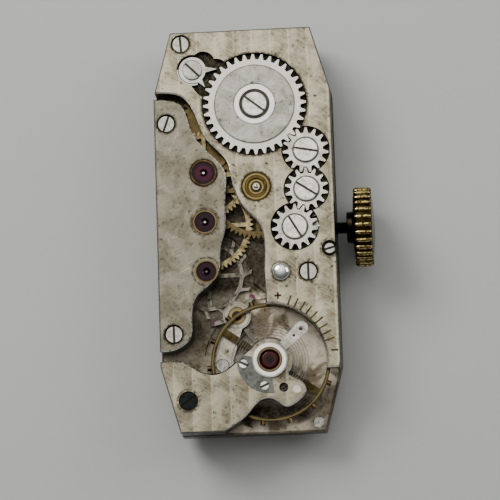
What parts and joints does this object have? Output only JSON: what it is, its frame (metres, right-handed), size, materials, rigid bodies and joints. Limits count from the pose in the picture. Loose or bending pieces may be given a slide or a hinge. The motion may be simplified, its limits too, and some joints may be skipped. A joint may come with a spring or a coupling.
{
  "type": "mechanical watch movement",
  "caption": "Small rectangular hand-wound watch movement with balance, going train, winding wheels, keyless work and a fluted crown",
  "frame": {"origin": "axis of the hands on the dial seat", "axes": "+X along the stem to the crown, +Y along the plate to the barrel end, +Z from the dial side to the bridge side"},
  "size_m": [0.0157, 0.0294, 0.0057],
  "materials": {
    "balance_cap_jewel": "polished ruby",
    "balance_cock": "nickel plate, warm and slightly worn",
    "balance_rim_screws": "gilt brass",
    "balance_staff": "hardened steel",
    "balance_wheel": "gilt brass",
    "barrel_arbor": "hardened steel",
    "barrel_bridge": "nickel plate, warm and slightly worn",
    "barrel_cover": "gilt brass",
    "barrel_drum": "gilt brass",
    "bridge_screws": "polished steel",
    "cannon_pinion": "hardened steel",
    "cap_plate": "ground steel",
    "cap_plate_screws": "polished steel",
    "center_bush": "gilt brass",
    "center_pinion": "hardened steel",
    "center_wheel": "gilt brass",
    "click": "hardened steel",
    "click_screw": "polished steel",
    "click_spring": "hardened steel",
    "cock_screw": "dark blued steel",
    "crown": "dark worn gilt",
    "crown_wheel": "satin steel",
    "escape_pinion": "hardened steel",
    "escape_wheel": "hardened steel",
    "fourth_pinion": "hardened steel",
    "fourth_wheel": "gilt brass",
    "hairspring": "spring steel",
    "hairspring_stud": "ground steel",
    "hole_jewels": "polished ruby",
    "hour_wheel": "gilt brass",
    "jewel_settings": "gilt brass",
    "low_screws": "polished steel",
    "lower_winding_wheel": "satin steel",
    "main_plate": "nickel plate, warm and slightly worn",
    "mainspring": "spring steel",
    "minute_wheel": "gilt brass",
    "pallet_bridge": "ground steel",
    "pallet_fork": "hardened steel",
    "pallet_staff": "hardened steel",
    "pallet_stones": "polished ruby",
    "plate_jewels": "polished ruby",
    "ratchet_screw": "polished steel",
    "ratchet_wheel": "satin steel",
    "regulator": "ground steel",
    "roller": "hardened steel",
    "setting_bridge": "ground steel",
    "setting_bridge_screw": "polished steel",
    "setting_lever": "hardened steel",
    "setting_lever_screw": "polished steel",
    "setting_wheel": "gilt brass",
    "sliding_clutch": "hardened steel",
    "third_pinion": "hardened steel",
    "third_wheel": "gilt brass",
    "train_bridge": "nickel plate, warm and slightly worn",
    "upper_winding_wheel": "satin steel",
    "winding_pinion": "hardened steel",
    "winding_stem": "hardened steel",
    "winding_wheel_screws": "polished steel",
    "yoke": "hardened steel",
    "yoke_post": "polished steel"
  },
  "bodies": {
    "frame": {"balance_cap_jewel": "balance_cap_jewel", "balance_cock": "balance_cock", "barrel_bridge": "barrel_bridge", "bridge_screws": "bridge_screws", "cap_plate": "cap_plate", "cap_plate_screws": "cap_plate_screws", "center_bush": "center_bush", "click_screw": "click_screw", "click_spring": "click_spring", "cock_screw": "cock_screw", "hairspring": "hairspring", "hairspring_stud": "hairspring_stud", "hole_jewels": "hole_jewels", "jewel_settings": "jewel_settings", "low_screws": "low_screws", "main_plate": "main_plate", "pallet_bridge": "pallet_bridge", "plate_jewels": "plate_jewels", "setting_bridge": "setting_bridge", "setting_bridge_screw": "setting_bridge_screw", "setting_lever_screw": "setting_lever_screw", "train_bridge": "train_bridge", "winding_wheel_screws": "winding_wheel_screws", "yoke_post": "yoke_post"},
    "barrel": {"barrel_drum": "barrel_drum", "barrel_cover": "barrel_cover", "mainspring": "mainspring"},
    "ratchet": {"ratchet_wheel": "ratchet_wheel", "ratchet_screw": "ratchet_screw", "barrel_arbor": "barrel_arbor"},
    "upper_wheel": {"upper_winding_wheel": "upper_winding_wheel"},
    "lower_wheel": {"lower_winding_wheel": "lower_winding_wheel"},
    "crown_wheel": {"crown_wheel": "crown_wheel"},
    "click": {"click": "click"},
    "center": {"center_pinion": "center_pinion", "center_wheel": "center_wheel"},
    "third": {"third_pinion": "third_pinion", "third_wheel": "third_wheel"},
    "fourth": {"fourth_pinion": "fourth_pinion", "fourth_wheel": "fourth_wheel"},
    "escape": {"escape_pinion": "escape_pinion", "escape_wheel": "escape_wheel"},
    "fork": {"pallet_fork": "pallet_fork", "pallet_stones": "pallet_stones", "pallet_staff": "pallet_staff"},
    "balance": {"balance_wheel": "balance_wheel", "balance_rim_screws": "balance_rim_screws", "balance_staff": "balance_staff", "roller": "roller"},
    "regulator": {"regulator": "regulator"},
    "winding_pinion": {"winding_pinion": "winding_pinion"},
    "clutch": {"sliding_clutch": "sliding_clutch"},
    "stem": {"winding_stem": "winding_stem", "crown": "crown"},
    "setting_lever": {"setting_lever": "setting_lever"},
    "yoke": {"yoke": "yoke"},
    "cannon": {"cannon_pinion": "cannon_pinion"},
    "hour": {"hour_wheel": "hour_wheel"},
    "minute": {"minute_wheel": "minute_wheel"},
    "setting_wheel": {"setting_wheel": "setting_wheel"}
  },
  "joints": [
    {"name": "crown_turn", "type": "hinge", "parent": "frame", "child": "winding_pinion", "pos_m": [0.005, 0, 0.00155], "axis": [1, 0, 0], "continuous": true},
    {"name": "crown_pull", "type": "slide", "parent": "winding_pinion", "child": "stem", "axis": [1, 0, 0], "range_m": [0, 0.00045]},
    {"name": "clutch_shift", "type": "slide", "parent": "winding_pinion", "child": "clutch", "axis": [-1, 0, 0], "range_m": [0, 0.00036]},
    {"name": "setting_lever_turn", "type": "hinge", "parent": "frame", "child": "setting_lever", "pos_m": [0.00593, -0.00178, 0.0005], "axis": [0, 0, 1], "range_deg": [-14.48, 0]},
    {"name": "yoke_turn", "type": "hinge", "parent": "frame", "child": "yoke", "pos_m": [0.0024, -0.00334, 0.0005], "axis": [0, 0, 1], "range_deg": [0, 6.18]},
    {"name": "crown_wheel_turn", "type": "hinge", "parent": "frame", "child": "crown_wheel", "pos_m": [0.00351, -0.00009, 0.003], "axis": [0, 0, 1], "continuous": true},
    {"name": "lower_wheel_turn", "type": "hinge", "parent": "frame", "child": "lower_wheel", "pos_m": [0.00444, 0.00262, 0.0032], "axis": [0, 0, 1], "continuous": true},
    {"name": "upper_wheel_turn", "type": "hinge", "parent": "frame", "child": "upper_wheel", "pos_m": [0.00448, 0.00549, 0.0032], "axis": [0, 0, 1], "continuous": true},
    {"name": "ratchet_turn", "type": "hinge", "parent": "frame", "child": "ratchet", "pos_m": [0.0009, 0.00905, 0.0032], "axis": [0, 0, 1], "continuous": true},
    {"name": "click_rock", "type": "hinge", "parent": "frame", "child": "click", "pos_m": [-0.00355, 0.01179, 0.0032], "axis": [0, 0, 1], "range_deg": [0, 3]},
    {"name": "escape_turn", "type": "hinge", "parent": "frame", "child": "escape", "pos_m": [-0.00295, -0.0031, 0.0013], "axis": [0, 0, 1], "continuous": true},
    {"name": "fourth_turn", "type": "hinge", "parent": "frame", "child": "fourth", "pos_m": [-0.00295, 0.00051, 0.0018], "axis": [0, 0, 1], "continuous": true},
    {"name": "third_turn", "type": "hinge", "parent": "frame", "child": "third", "pos_m": [-0.00295, 0.00412, 0.0025], "axis": [0, 0, 1], "continuous": true},
    {"name": "center_turn", "type": "hinge", "parent": "frame", "child": "center", "pos_m": [0.00082, 0.00295, 0.0023], "axis": [0, 0, 1], "continuous": true},
    {"name": "barrel_turn", "type": "hinge", "parent": "frame", "child": "barrel", "pos_m": [0.0009, 0.00905, 0.0015], "axis": [0, 0, 1], "continuous": true},
    {"name": "minute_turn", "type": "hinge", "parent": "frame", "child": "minute", "pos_m": [-0.00152, 0.00201, 0.001], "axis": [0, 0, 1], "continuous": true},
    {"name": "cannon_turn", "type": "hinge", "parent": "frame", "child": "cannon", "pos_m": [0, 0, 0.001], "axis": [0, 0, 1], "continuous": true},
    {"name": "hour_turn", "type": "hinge", "parent": "frame", "child": "hour", "pos_m": [0, 0, 0.0004], "axis": [0, 0, 1], "continuous": true},
    {"name": "setting_wheel_turn", "type": "hinge", "parent": "frame", "child": "setting_wheel", "pos_m": [0.00198, 0, 0.001], "axis": [0, 0, 1], "continuous": true},
    {"name": "fork_rock", "type": "hinge", "parent": "frame", "child": "fork", "pos_m": [-0.00097, -0.00615, 0.0012], "axis": [0, 0, 1], "range_deg": [-5, 5]},
    {"name": "balance_swing", "type": "hinge", "parent": "frame", "child": "balance", "pos_m": [0.00138, -0.00966, 0.0022], "axis": [0, 0, 1], "range_deg": [-270, 270], "stiffness_Nm_per_rad": 0.00000015},
    {"name": "regulator_turn", "type": "hinge", "parent": "frame", "child": "regulator", "pos_m": [0.00138, -0.00966, 0.0038], "axis": [0, 0, 1], "range_deg": [-25, 22]}
  ],
  "couplings": [
    {"joint": "clutch_shift", "follows": "crown_pull", "ratio": 0.8},
    {"joint": "setting_lever_turn", "follows": "crown_pull", "rad_per_m": -561.79},
    {"joint": "yoke_turn", "follows": "crown_pull", "rad_per_m": 239.52},
    {"joint": "crown_wheel_turn", "follows": "crown_turn", "ratio": -0.8},
    {"joint": "lower_wheel_turn", "follows": "crown_turn", "ratio": 0.85714},
    {"joint": "upper_wheel_turn", "follows": "crown_turn", "ratio": -0.8},
    {"joint": "ratchet_turn", "follows": "crown_turn", "ratio": 0.33333},
    {"joint": "fourth_turn", "follows": "escape_turn", "ratio": -0.1},
    {"joint": "third_turn", "follows": "escape_turn", "ratio": 0.013333},
    {"joint": "center_turn", "follows": "escape_turn", "ratio": -0.0016667},
    {"joint": "barrel_turn", "follows": "escape_turn", "ratio": 0.00030303},
    {"joint": "minute_turn", "follows": "escape_turn", "ratio": 0.00066667},
    {"joint": "cannon_turn", "follows": "escape_turn", "ratio": -0.0016667},
    {"joint": "hour_turn", "follows": "escape_turn", "ratio": -0.00013889},
    {"joint": "setting_wheel_turn", "follows": "escape_turn", "ratio": 0.00095238}
  ]
}
